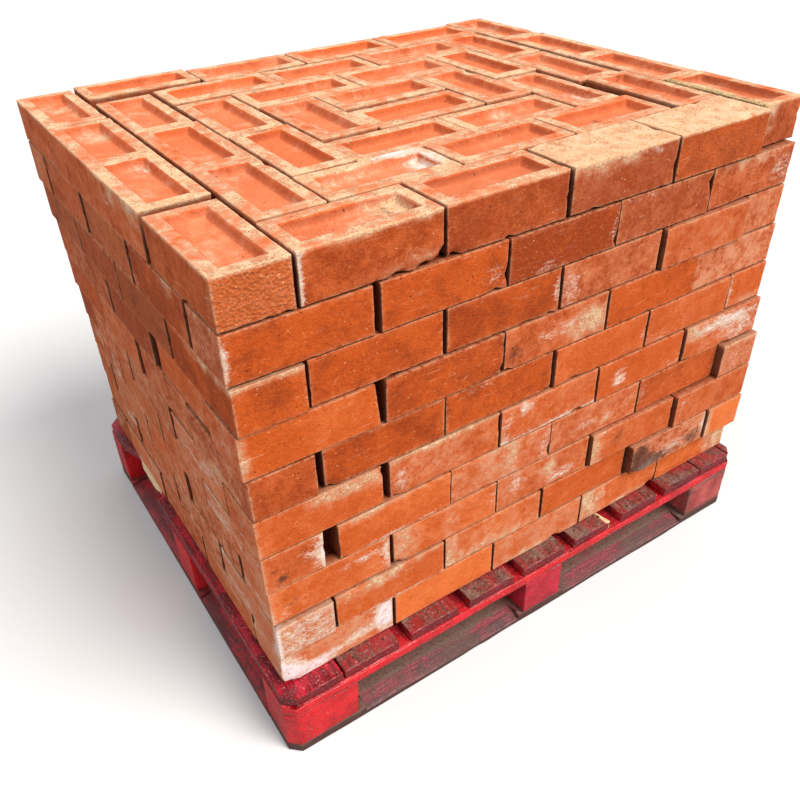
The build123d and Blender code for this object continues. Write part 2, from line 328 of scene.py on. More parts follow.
# Marks on the front, by course and brick from the left
front_marks = {
    (10, 0): "grit .5 .5 1 1 1.2",
    (10, 1): "lime .02 .5 .03 .8 1.3, sand .8 0 .25 .25 .8, sand .5 1 .9 .12 .8",
    (10, 3): "sand .25 1 .4 .22 1.3, lime .8 .85 .2 .15 .5",
    (10, 4): "grit .5 .5 .6 .6 .5",
    (10, 5): "sand .12 .8 .25 .4 1.3, lime .08 .4 .1 .6 .8, scorch .3 .6 .3 .5 .5",
    (9, 0): "lime .02 .5 .04 .5 .8",
    (9, 1): "lime .9 .3 .12 .3 .8",
    (9, 2): "lime .97 .4 .05 .5 .9, lime .35 .15 .2 .25 .5",
    (9, 3): "scorch .5 .45 .5 .12 .5, lime .2 .9 .3 .12 .5",
    (9, 4): "lime .9 .45 .16 .45 1, sand .5 .9 .4 .2 .5",
    (8, 0): "sand .5 1 .8 .1 .9",
    (8, 2): "lime .97 .5 .05 .5 .8",
    (8, 3): "lime .1 .45 .12 .5 .8, scorch .9 .97 .08 .12 .8",
    (8, 4): "lime .5 .8 .4 .12 .4",
    (8, 5): "pink .5 .5 .8 .8 .7",
    (7, 0): "sand .02 .6 .04 .6 .9",
    (7, 1): "lime .55 .4 .1 .12 .5, scorch .4 .05 .1 .15 .6",
    (7, 2): "scorch .1 .35 .14 .35 .9, sand .85 .45 .22 .35 1.3, lime .55 .5 .3 .2 .8",
    (7, 3): "lime .3 .8 .1 .1 .4",
    (7, 4): "pink .5 .5 .9 .9 .8, lime .1 .5 .04 .5 .4",
    (6, 2): "lime .3 .85 .3 .12 .4",
    (6, 3): "lime .97 .5 .04 .5 .6",
    (6, 4): "lime .15 .15 .25 .2 .6",
    (6, 5): "lime .05 .5 .07 .6 .9, sand .6 .1 .3 .15 .7",
    (5, 0): "sand .75 .85 .35 .2 .9",
    (5, 1): "sand .5 1 .9 .12 1, pink .4 .5 .5 .5 .9, lime .1 .5 .08 .6 .6",
    (5, 2): "lime .25 .8 .1 .25 .9, lime .6 .03 .7 .12 1.1, lime .05 .5 .06 .5 .8",
    (5, 3): "lime .25 .4 .1 .3 1, lime .9 .2 .2 .15 .6",
    (5, 4): "lime .5 .75 .45 .2 1.4, lime .75 .3 .35 .3 .9, sand .1 .8 .15 .3 .8",
    (4, 0): "lime .9 .45 .12 .5 .6, scorch .3 .3 .3 .4 .5, scorch .15 .6 .05 .1 .9, "
            "scorch .3 .25 .08 .1 1, lime .75 .55 .22 .3 .6, lime .97 .5 .05 .6 1.2",
    (4, 1): "sand .3 1 .5 .12 .9, lime .5 .03 .6 .1 .7",
    (4, 2): "sand .55 .5 .2 .6 .7, lime .95 .4 .08 .6 .8",
    (4, 3): "lime .4 .4 .3 .15 .7, sand .65 .3 .06 .08 1.2",
    (4, 4): "lime .05 .6 .05 .5 .7",
    (4, 5): "grit .5 .5 1 1 .5, sand .4 1 .6 .15 .9, pink .5 .5 1 1 1.4, lime .5 .5 1 1 .35",
    (3, 0): "lime .97 .5 .05 .6 1, lime .1 .2 .1 .4 .5, scorch .15 .45 .08 .25 .9, lime .75 .7 .2 .12 1",
    (3, 1): "sand .1 .5 .12 .6 .7, sand .55 .5 .08 .5 .6, lime .95 .5 .1 .4 .5",
    (3, 2): "lime .2 .55 .1 .4 1, sand .55 .6 .1 .3 .8, lime .7 .25 .2 .2 .9",
    (3, 3): "sand .05 .5 .08 .7 1, scorch .3 .6 .14 .4 .8, scorch .85 .5 .1 .4 .5",
    (3, 4): "lime .1 .5 .06 .6 .6, scorch .6 .5 .4 .3 .4",
    (2, 0): "grit .5 .5 1 1 .5, sand .5 .5 2 2 .2, lime .5 .5 2 2 .75, lime 0 .5 .05 1 1.2, "
            "pink .5 .5 1 1 2.4",
    (2, 1): "sand .35 .85 .4 .2 .9, lime .5 .03 .6 .1 .9",
    (2, 2): "sand .05 .5 .06 .6 1, sand .4 .15 .6 .2 .7",
    (2, 4): "scorch .1 .45 .12 .5 2.2, scorch .3 .2 .25 .22 1.6, scorch .85 .3 .16 .35 1.1, "
            "lime .2 .1 .14 .14 1.5, lime .55 .35 .25 .3 .9, lime .97 .6 .05 .5 1, pink .6 .5 .5 .5 1",
    (2, 5): "sand .05 .5 .08 .7 .9",
    (1, 0): "lime .03 .2 .14 .6 3, lime .25 .12 .2 .2 2, lime .93 .6 .08 .5 3, lime .5 .3 .3 .12 1, "
            "lime .7 .45 .16 .16 1, pink .5 .5 1 1 .6",
    (1, 2): "pink .5 .5 .9 .9 .6, sand .4 .05 .6 .12 .9",
    (1, 3): "sand .1 .5 .16 .7 1.1, sand .7 .05 .3 .12 .8",
    (1, 4): "sand .9 .5 .2 .7 1.1",
}

# Marks on the upper faces of the top course, along X and Y from the left near corner
top_marks = {
    (0, "front", 0): "scorch .77 .55 .07 .2 .8, sand .79 .55 .12 .3 1.6, lime .58 .3 .12 .12 .5",
    (0, "left", 1): "lime .7 .8 .2 .12 .8, sand .45 .12 .4 .12 .6",
    (1, "front", 0): "lime .72 .95 .14 .12 1.9, lime .88 .55 .14 .4 1.5, sand .25 .8 .3 .2 .8, "
                     "pink .5 .3 .5 .4 .7",
    (1, "left", 2): "scorch .1 .1 .16 .1 .6, scorch .9 .1 .16 .1 .5, sand .1 .1 .2 .12 1.4, "
                    "sand .9 .1 .2 .12 1.4",
    (2, "left", 0): "scorch .5 .96 .5 .05 .8",
    (3, "left", 0): "lime .35 .35 .1 .3 .9",
    (2, "right", 0): "lime .6 .3 .2 .2 .9",
    (1, "front", 2): "scorch .42 .45 .05 .1 1.4",
    (0, "front", 3): "pink .5 .25 .6 .3 1, scorch .35 .7 .3 .3 .35",
    (0, "front", 2): "pink .55 .8 .1 .3 .6",
    (2, "back", 0): "scorch .15 .85 .08 .1 .8",
    (0, "left", 0): "pink .5 .6 .5 .6 .8",
}

# Marks on the left side, by course, side and place, along Y and up
left_marks = {
    (10, "left", 0): "lime .06 .4 .06 .6 .56",
    (10, "left", 1): "sand .3 .85 .3 .25 .9, lime .7 .6 .15 .4 .5",
    (9, "front", 0): "lime .5 .5 .9 .9 .34, pink .5 .5 1 1 1",
    (9, "left", 0): "scorch .5 .5 .9 .9 .5",
    (9, "left", 1): "pink .5 .5 .9 .9 .3",
    (8, "left", 0): "sand .3 .95 .4 .15 .7",
    (8, "left", 1): "scorch .5 .5 .9 .9 .5",
    (7, "front", 0): "lime .5 .5 .9 .9 .37, pink .5 .5 1 1 1",
    (7, "left", 0): "lime .5 .4 .3 .5 .43",
    (7, "left", 1): "scorch .5 .5 .9 .9 .7",
    (6, "left", 0): "sand .5 .1 .3 .2 .6",
    (6, "left", 1): "pink .5 .5 .9 .9 1",
    (5, "front", 0): "scorch .5 .5 .8 .8 .5",
    (5, "left", 0): "lime .3 .6 .3 .4 .5",
    (5, "left", 1): "scorch .5 .5 .9 .9 .6",
    (4, "left", 0): "lime .8 .7 .3 .4 .56",
    (4, "left", 1): "pink .5 .5 .9 .9 1",
    (3, "left", 0): "pink .5 .5 .9 .9 .9",
    (3, "left", 1): "lime .4 .5 .4 .5 .56",
    (2, "left", 0): "lime .05 .5 .05 .7 .87, lime .8 .9 .3 .2 .74",
    (2, "left", 1): "lime .5 .8 .5 .3 .68",
    (2, "left", 2): "lime .5 .3 .4 .3 .62",
    (1, "front", 0): "lime .5 .8 .6 .3 .56",
    (1, "left", 0): "sand .5 .8 .5 .3 .9",
}

# Millimetres off the left and the right end of bricks in the front, which opens their joints
end_trims = {
    (10, 1): (1, 0), (10, 2): (0, 1), (9, 0): (0, 2), (9, 1): (1.5, 0), (9, 3): (0, 1), (8, 1): (1, 0),
    (8, 2): (.5, 0), (8, 4): (1.5, 0), (7, 0): (0, 3), (7, 1): (1.5, 0), (6, 1): (4, 0), (6, 3): (.5, 0),
    (5, 0): (0, 3), (5, 1): (2, 0), (5, 4): (.5, 0), (4, 1): (3, 0), (3, 1): (.5, 0), (3, 3): (1, 0),
    (3, 4): (.5, 0), (2, 1): (.5, 0), (2, 3): (1, 0), (2, 4): (0, 2), (1, 1): (.5, 0),
}

# How many millimetres more are off at the top of those ends than at the foot
end_slants = {
    (7, 0): (0, 7), (7, 1): (1.5, 0), (9, 3): (0, 2), (9, 0): (0, 2), (6, 0): (0, 2), (8, 1): (2, 0),
}

# Broken arrises in the front: place along and up as shares, reach and depth in metres
chips = {
    (10, 1): [(.98, .05, .022, .012), (.85, 0, .016, .008), (.66, 0, .014, .006)],
    (10, 2): [(.05, 0, .016, .008), (.5, 0, .01, .004)], (10, 3): [(.03, .1, .014, .006)],
    (10, 4): [(.7, 0, .012, .005)], (9, 1): [(.98, .3, .014, .005), (.9, .05, .014, .006)],
    (9, 2): [(.98, .15, .012, .006)], (9, 3): [(.97, .7, .018, .008)], (9, 4): [(.04, .3, .014, .006)],
    (8, 1): [(.03, .3, .012, .006)], (8, 3): [(.9, 1, .014, .006)], (8, 4): [(.02, .9, .014, .006)],
    (7, 1): [(.02, .95, .018, .008), (.97, .1, .016, .007)], (7, 2): [(.03, .1, .016, .008)],
    (7, 3): [(.02, .2, .012, .005)], (6, 1): [(.03, 0, .016, .007)],
    (6, 2): [(.97, 0, .012, .005), (.03, 1, .014, .006)], (6, 3): [(.97, .5, .01, .005)],
    (5, 0): [(.97, .9, .014, .006)], (5, 1): [(.04, .1, .016, .007)], (5, 2): [(.8, 0, .014, .006)],
    (5, 4): [(.04, .1, .016, .007)], (4, 1): [(.03, .1, .014, .006)], (4, 2): [(.97, .2, .014, .006)],
    (4, 4): [(.03, .2, .012, .005)], (3, 1): [(.03, 0, .018, .008)], (3, 3): [(.03, .8, .014, .007)],
    (2, 1): [(.03, .1, .012, .005)], (2, 4): [(.04, 0, .018, .009)],
    (1, 0): [(.03, 0, .018, .009), (.02, .9, .012, .005)], (1, 2): [(.7, 0, .016, .007)],
    (1, 3): [(.95, 0, .02, .01)],
}

# Millimetres off the left, right, near and far side of other bricks: course, ring, side, place
cuts = {
    (10, 0, "left", 0): (0, 0, 0, 3), (10, 0, "left", 1): (0, 0, 5, 0), (10, 0, "left", 3): (0, 3, 0, 0),
    (10, 0, "back", 0): (0, 0, 5, 0), (10, 1, "right", 0): (6, 0, 0, 0), (10, 2, "right", 0): (0, 5, 0, 0),
    (9, 0, "left", 0): (0, 0, 4, 0), (9, 0, "left", 1): (0, 0, 6, 0), (9, 0, "left", 2): (0, 0, 6, 0),
    (7, 0, "left", 0): (4, 0, 5, 0), (7, 0, "left", 1): (0, 0, 5, 0), (4, 0, "left", 1): (0, 0, 7, 0),
    (5, 0, "left", 1): (0, 0, 6, 0), (6, 0, "left", 1): (3, 0, 0, 0), (2, 0, "left", 1): (0, 0, 4, 0),
    (3, 0, "left", 1): (0, 0, 6, 0), (10, 1, "front", 2): (0, 3, 0, 2), (10, 2, "left", 0): (0, 0, 0, 3),
    (10, 1, "left", 2): (0, 2, 0, 0),
}

# Millimetres by which bricks of the top course lie lower than their neighbours
drops = {
    (10, 2, "front", 0): 4, (10, 2, "front", 1): 4, (10, 1, "left", 1): 2, (10, 1, "right", 1): 2,
    (10, 0, "left", 2): 2, (10, 0, "left", 0): 1, (10, 3, "front", 0): 3, (10, 2, "right", 0): 3,
    (10, 2, "left", 1): 2, (10, 1, "back", 1): 2, (10, 1, "left", 2): 3,
}

# the last channel holds painted shade: in the gaps, along the bed lines and on the frog walls
channels = ("sand", "lime", "scorch", "pink", "grit", "moss", "joint")
side_seeds = {"front": 0, "right": 31, "back": 57, "left": 83}


class Brick:
    """One brick, from its template to its place in the stack, with the fields that the clay reads."""

    def __init__(self, course, spot, ring, side, place):
        self.course, self.spot, self.side, self.place = course, spot, side, place
        self.key = (ring, side, place)
        self.outer, self.in_top, self.down = ring == 0, course == COURSES, spot["down"]
        row = front_row(course)
        self.number = row.index((side, place)) if self.outer and (side, place) in row else None
        self.hidden = self.outer and not self.in_top and self.number is None
        kind = ("best" if self.outer else "top") if self.in_top else ("side" if self.outer else "plain")
        self.shape = templates["down" if self.down else kind]
        self.draw = np.random.default_rng(17 * course + 101 * ring + 7 * place + side_seeds[side])
        self.points = self.shape["points"].copy()
        self.offset = self.draw.uniform(-40, 40, 3)
        self.turned = self.points + self.offset
        self.crosswise = abs(math.cos(spot["turn"])) < 0.7
        self.half_x, self.half_y = (WIDTH / 2, LENGTH / 2) if self.crosswise else (LENGTH / 2, WIDTH / 2)
        self.inner = np.array([spot["x"] - self.half_x > -STACK_X, spot["x"] + self.half_x < STACK_X,
                               spot["y"] - self.half_y > -STACK_Y, spot["y"] + self.half_y < STACK_Y], float)
        if kind != "plain":
            self.wear()
        self.fit()
        self.settle()
        self.colour()

    def wear(self):
        """Uneven faces, worn arrises and knocked-off corners."""
        turned, sunk, plain = self.turned, self.shape["sunk"], self.shape["points"]
        inward = 0.0005 * (0.5 + 0.5 * noise(turned, 0.06, 1))
        inward = inward + 0.0005 * (0.5 + 0.5 * noise(turned, 0.018, 2))
        near = near_to(self.shape["edge"], 0.0026)
        wide = near_to(self.shape["edge"], 0.0075)
        rough = self.draw.uniform(0.5, 1.2)
        inward += near * (0.0003 + 0.0006 * (0.5 + 0.5 * noise(turned, 0.02, 3))) * rough
        inward += near * 0.0030 * patches(turned, 0.015, 11, -0.45) * rough
        inward += wide * 0.0080 * patches(turned, 0.024, 4, -0.58) * rough
        inward += wide * 0.012 * patches(turned, 0.05, 5, -0.72) * rough
        for along, up, reach, depth in chips.get((self.course, self.number), ()):
            stretcher = self.side in ("front", "back")
            flat_u, size_u = (plain[:, 0], LENGTH) if stretcher else (-plain[:, 1], WIDTH)
            gap_u = flat_u - (along - 0.5) * size_u
            gap_z = plain[:, 2] - up * HEIGHT
            inward += depth * np.clip(1 - np.hypot(gap_u, gap_z) / reach, 0, 1) * wide
        inward *= sunk < 0.02
        self.points += self.shape["pull"] * inward[:, None]
        self.points[:, 2] += sunk * 0.0006 * noise(turned, 0.06, 7) - np.where(sunk > 0.9, 0.0006, 0)

    def fit(self):
        """Trims the ends and flanks: real bricks differ a little, and their ends aren't square."""
        local, draw, inner = self.points, self.draw, self.inner
        west, east, near, far = cuts.get((self.course, *self.key), (0, 0, 0, 0))
        if self.crosswise:
            ends, flanks, inner_ends, inner_flanks = (near, far), (east, west), inner[2:], inner[1::-1]
        else:
            ends, flanks, inner_ends, inner_flanks = (west, east), (near, far), inner[:2], inner[2:]
        flanks = np.array(flanks)
        opened = np.array(end_trims.get((self.course, self.number), (0, 0))) + ends
        trim = draw.uniform(0.0, 0.0022, 2)
        slim = draw.uniform(0.0, 0.0008, 2)
        # the real joints are closer than the solids' are, so bricks in sight reach into the joints
        if self.in_top or self.number is not None:
            trim = trim * 0.3 - 0.0015 * inner_ends * (opened == 0)
        if self.in_top:
            slim = slim * 0.6 - 0.0013 * inner_flanks * (flanks == 0)
        trim = trim + opened / 1000
        slim = slim + flanks / 1000
        slant = draw.uniform(-0.0009, 0.0009, 2)
        slant = slant + np.array(end_slants.get((self.course, self.number), (0, 0))) / 1000
        if self.hidden:
            trim += draw.uniform(0, 0.006, 2) * (draw.random(2) < 0.4)
            slim[1 if self.side in ("left", "back") else 0] += draw.uniform(0, 0.003)
        share_x, share_y = local[:, 0] / LENGTH + 0.5, local[:, 1] / WIDTH + 0.5
        rise = local[:, 2] / HEIGHT - 0.5
        local[:, 0] += (1 - share_x) * (trim[0] + slant[0] * rise) - share_x * (trim[1] + slant[1] * rise)
        local[:, 1] += (1 - share_y) * slim[0] - share_y * slim[1]
        loose = self.in_top and not (self.outer and self.side == "front")
        lower = drops.get((self.course, *self.key), 0) / 1000 / HEIGHT
        local[:, 2] *= 1 - draw.uniform(0.0, 0.025 if loose else 0.014) - lower

    def settle(self):
        """Turns and tips the brick and moves it to its place in the stack."""
        local, spot = self.points, self.spot
        tip = self.draw.uniform(-0.004, 0.004, 2)
        if self.down:
            local[:, 1] *= -1
            local[:, 2] = spot["high"] - spot["low"] - local[:, 2]
        lean = local[:, 0] * tip[0] * 0.35 + local[:, 1] * tip[1] * 0.6
        lean = lean - np.abs(tip[0]) * 0.041 - np.abs(tip[1]) * 0.034
        lift = np.where(local[:, 2] > HEIGHT / 2, lean, 0)
        c, s = math.cos(spot["turn"]), math.sin(spot["turn"])
        x, y = c * local[:, 0] - s * local[:, 1], s * local[:, 0] + c * local[:, 1]
        self.world = np.column_stack([x + spot["x"], y + spot["y"], local[:, 2] + lift + spot["low"]])
        self.u, self.v = x / (2 * self.half_x) + 0.5, y / (2 * self.half_y) + 0.5

    def mark(self, marks, across, up, where):
        """Adds marks with soft edges to their channels."""
        for mark in marks.split(", ") if marks else ():
            name, *numbers = mark.split()
            mid_across, mid_up, reach_across, reach_up, strength = map(float, numbers)
            fall = np.exp(-((across - mid_across) / reach_across) ** 2 - ((up - mid_up) / reach_up) ** 2)
            self.level[name] += strength * fall * where

    def colour(self):
        """Works out the fields that the material reads."""
        shape, draw = self.shape, self.draw
        count, edge = len(self.points), shape["edge"]
        level = self.level = {name: np.zeros(count) for name in channels}
        self.plain_z = TALL - shape["points"][:, 2] if self.down else shape["points"][:, 2]
        self.up = self.plain_z / HEIGHT
        self.tint, self.pink = draw.uniform(0.05, 0.6), draw.uniform(0, 0.45)
        self.on_top = smooth(self.up, 0.93, 0.975)
        if self.in_top:
            rims, *tones = top_bricks[self.key[:2]][self.place].split()
            if tones:
                self.tint, self.pink = (int(t) / 9 for t in tones[0])
        if self.number is not None:
            self.colour_front()
        if self.hidden:
            self.colour_hidden()
        if self.outer:
            self.colour_left()
        if self.in_top:
            self.colour_top(int(t) / 9 for t in rims)
        self.colour_joints()
        if self.in_top:
            patchy = 0.5 + 0.5 * noise(self.turned, 0.034, 12)
            level["sand"] *= 0.65 + 0.7 * patchy if self.down else 0.25 + 1.5 * patchy
        level["sand"] += 0.30 * near_to(edge, 0.004) * draw.uniform(0.1, 1.0)
        level["lime"] += 0.25 * near_to(edge, 0.003) * draw.uniform(0.0, 1.0)
        tint, pink = np.broadcast_to(self.tint, count), np.broadcast_to(self.pink, count)
        frog = shape["sunk"] if self.in_top and not self.down else np.zeros(count)
        self.fields = {
            "tone": np.stack([tint, level["sand"], level["lime"], level["scorch"]], 1),
            "other": np.stack([near_to(edge, 0.0024), frog, pink + level["pink"], level["grit"]], 1),
            "spot": self.points + np.mod(self.offset, 8.0),
            "moss": level["moss"],
            "joint": level["joint"],
        }

    def colour_front(self):
        """The front face as in the photograph."""
        tint, pink = (int(t) / 9 for t in front_tints[self.course].split()[self.number])
        if self.in_top:
            tint = self.tint * self.on_top + tint * (1 - self.on_top)
            pink = self.pink * self.on_top + pink * (1 - self.on_top)
        self.tint, self.pink = tint, pink
        marks = front_marks.get((self.course, self.number), "")
        self.mark(marks, self.u, self.up, smooth(-self.v, -0.05, -0.01))

    def colour_hidden(self):
        """Random dust and lime on sides that the photograph hides or shows at a slant, and painted shade on
        the left above the chalky courses.
        """
        level, turned, draw = self.level, self.turned, self.draw
        level["pink"] += draw.uniform(0, 1.0) * (draw.random() < 0.5)
        self.tint += draw.uniform(-0.1, 0.2)
        for name, most, size, seed, chance in (("lime", 0.9, 0.05, 8, 0.5), ("sand", 0.9, 0.06, 9, 0.5),
                                               ("scorch", 1.0, 0.05, 10, 0.2)):
            level[name] += draw.uniform(0.2, most) * patches(turned, size, seed) * (draw.random() < chance)
        level["grit"] += (draw.random() < 0.3) * 0.8
        # painted shade: left bricks above the chalky courses get a lower tint and half their pink, lime and
        # sand
        if self.side == "left" and self.course > CHALKY_PAINTED_LIGHT_COURSES:
            self.tint -= 0.12
            for name in ("pink", "lime", "sand"):
                level[name] *= 0.5

    def colour_left(self):
        """The left side: marked, darker towards the top by painted shade, and chalky and lightened by painted
        light in its lower courses.
        """
        if self.side != "left" and self.number != 0:
            return
        level, course = self.level, self.course
        on_left = smooth(-self.u, -0.05, -0.01)
        self.mark(left_marks.get((course, self.side, self.place), ""), self.v, self.up, on_left)
        # painted shade: the left face is darkened, most in the top course and less towards the foot
        self.tint = self.tint - (0.18 - 0.025 * (COURSES - course)) * on_left
        if course <= CHALKY_PAINTED_LIGHT_COURSES:
            band = patches(self.turned, (0.11, 0.05, 0.022), 14, 0.30, 1.1) * on_left
            level["lime"] += 0.70 * band * (1.15 - 0.08 * course)
            level["pink"] += 0.9 * on_left
            # painted light: the lower courses of the left face are lightened, more towards the foot
            self.tint = self.tint + 0.07 * (CHALKY_PAINTED_LIGHT_COURSES - course) * on_left

    def colour_top(self, rims):
        """Sandy rims, dusty frogs with painted shade on their walls, and the marks on the upper faces of the
        top course.
        """
        level, sunk, on_top, u, v = self.level, self.shape["sunk"], self.on_top, self.u, self.v
        reach_u, reach_v = RIM_REACH / (2 * self.half_x), RIM_REACH / (2 * self.half_y)
        shares = np.stack([near_to(u, reach_u), near_to(1 - u, reach_u),
                           near_to(v, reach_v), near_to(1 - v, reach_v)])
        amount = (shares / (shares.sum(0) + 0.05)).T @ np.array(list(rims))
        if self.down:
            amount = np.full(len(u), 1.10)
            rim = upper = on_top
        else:
            rim = on_top * (1 - smooth(sunk, 0.0, 0.06))
            upper = np.maximum(on_top, sunk)
        level["sand"] += (0.12 + 1.06 * amount) * 1.1 * rim
        if not self.down:
            wall = smooth(sunk, 0.03, 0.2) * (1 - smooth(sunk, 0.85, 1.0))
            dust = patches(self.turned, 0.05, 13, 0.2) * sunk
            # painted shade: the frog's walls get a lower tint and more of the dark of the gaps; the rims get
            # a higher tint
            self.tint = self.tint + 0.25 * rim - 0.20 * wall
            level["pink"] += 0.50 * rim
            level["joint"] += 0.16 * wall
            level["sand"] += 0.45 * dust
            level["pink"] += 0.5 * dust
        self.mark(top_marks.get(self.key, ""), u, v, upper)
        if self.key == (0, "right", 0):
            # the end that has slid out is overgrown
            level["moss"] += smooth(-u, -0.13, -0.03) * 1.3
            level["sand"] += smooth(-u, -0.12, -0.02) * 0.9

    def colour_joints(self):
        """Painted shade on the sides that face another brick, at the foot of each brick and on the top of
        bricks below the top course; sand high up on those sides in the top course.
        """
        level, height, beside = self.level, self.plain_z, 1 - self.on_top
        x, y = self.shape["points"][:, 0], self.shape["points"][:, 1] * (-1 if self.down else 1)
        if self.crosswise:
            x, y = -y, x
        high = smooth(height, 0.055, 0.078) if self.in_top else 0
        gaps = (x + self.half_x, self.half_x - x, y + self.half_y, self.half_y - y)
        for distance, in_joint in zip(gaps, self.inner):
            level["joint"] += in_joint * (0.8 - 0.25 * high) * (1 - smooth(distance, 0.0012, 0.0022)) * beside
            if self.in_top:
                level["sand"] += in_joint * 0.25 * high * (1 - smooth(distance, 0.0012, 0.003)) * beside
        level["joint"] += 0.8 * (1 - smooth(height, 0.0003, 0.0012))
        if not self.in_top:
            level["joint"] += 0.6 * (1 - smooth(TALL - height, 0.0002, 0.0009))


def add_mesh(name, points, faces, material):
    mesh = bpy.data.meshes.new(name)
    mesh.from_pydata(points, [], faces)
    mesh.polygons.foreach_set("use_smooth", np.ones(len(mesh.polygons), bool))
    mesh.materials.append(material)
    obj = bpy.data.objects.new(name, mesh)
    bpy.context.scene.collection.objects.link(obj)
    return obj


def store(mesh, name, values):
    """Keeps one number, vector or colour per point, by the shape of the values."""
    columns = values.shape[1] if values.ndim == 2 else 1
    kind, key = {1: ("FLOAT", "value"), 3: ("FLOAT_VECTOR", "vector"), 4: ("FLOAT_COLOR", "color")}[columns]
    layer = mesh.attributes.new(name, kind, "POINT")
    layer.data.foreach_set(key, np.ascontiguousarray(values, dtype=np.float32).ravel())


# Materials

def linear(r, g, b):
    """The shader's colour for red, green and blue from 0 to 255."""
    shares = (c / 255 for c in (r, g, b))
    return tuple(((s + 0.055) / 1.055) ** 2.4 if s > 0.04 else s / 12.92 for s in shares) + (1.0,)


class Graph:
    """Short names for building one material's nodes. Colours may be given as red, green and blue."""

    def __init__(self, name, specular=0.25):
        self.material = bpy.data.materials.new(name)
        self.material.use_nodes = True
        self.tree = self.material.node_tree
        self.shader = self.tree.nodes["Principled BSDF"]
        self.shader.inputs["Specular IOR Level"].default_value = specular

    def node(self, kind, inputs=(), **settings):
        made = self.tree.nodes.new(kind)
        for key, value in settings.items():
            setattr(made, key, value)
        for key, value in dict(inputs).items():
            self.put(made.inputs[key], value)
        return made

    def put(self, target, value):
        if isinstance(value, bpy.types.NodeSocket):
            self.tree.links.new(value, target)
        else:
            target.default_value = value

    def finish(self, color, rough, height, strength, distance):
        """Links the shader and returns the material."""
        self.put(self.shader.inputs["Base Color"], color)
        self.put(self.shader.inputs["Roughness"], rough)
        bump = self.node("ShaderNodeBump", {"Strength": strength, "Distance": distance, "Height": height})
        self.put(self.shader.inputs["Normal"], bump.outputs["Normal"])
        return self.material

    def math(self, operation, a, b=0.0, clamp=False):
        return self.node("ShaderNodeMath", {0: a, 1: b}, operation=operation, use_clamp=clamp).outputs[0]

    def times(self, a, b, clamp=False):
        return self.math("MULTIPLY", a, b, clamp)

    def plus(self, first, *others):
        for other in others:
            first = self.math("ADD", first, other)
        return first

    def minus(self, a, b):
        return self.math("SUBTRACT", a, b)

    def least(self, a, b):
        return self.math("MINIMUM", a, b)

    def sway(self, noise, amount):
        """That noise about zero instead of a half."""
        return self.times(self.minus(noise, 0.5), amount)

    def mix(self, factor, a, b):
        a, b = (linear(*color) if isinstance(color, tuple) else color for color in (a, b))
        made = self.node("ShaderNodeMix", {"Factor": factor}, data_type="RGBA")
        self.put(made.inputs["A"], a)
        self.put(made.inputs["B"], b)
        return made.outputs["Result"]

    def over(self, under, mask, strength, color):
        """One colour laid over another where the mask is."""
        return self.mix(self.times(mask, strength), under, color)

    def noise(self, vector, scale, detail=2.0, rough=0.5, distortion=0.0):
        inputs = {"Vector": vector, "Scale": scale, "Detail": detail, "Roughness": rough,
                  "Distortion": distortion}
        return self.node("ShaderNodeTexNoise", inputs).outputs["Fac"]

    def cells(self, vector, scale):
        return self.node("ShaderNodeTexVoronoi", {"Vector": vector, "Scale": scale}).outputs["Distance"]

    def ramp(self, value, low, high):
        inputs = {"Value": value, "From Min": low, "From Max": high}
        return self.node("ShaderNodeMapRange", inputs, interpolation_type="SMOOTHSTEP").outputs["Result"]

    def scaled(self, vector, x, y, z):
        return self.node("ShaderNodeMapping", {"Vector": vector, "Scale": (x, y, z)}).outputs["Vector"]

    def turned(self, vector, turn):
        inputs = {"Vector": vector, "Rotation": turn}
        return self.node("ShaderNodeVectorRotate", inputs, rotation_type="EULER_XYZ").outputs["Vector"]

    def axes(self, vector):
        return self.node("ShaderNodeSeparateXYZ", {0: vector}).outputs

    def parts(self, color):
        return self.node("ShaderNodeSeparateColor", {"Color": color}).outputs

    def attribute(self, name):
        return self.node("ShaderNodeAttribute", attribute_name=name).outputs

    def here(self):
        return self.node("ShaderNodeTexCoord").outputs["Object"]


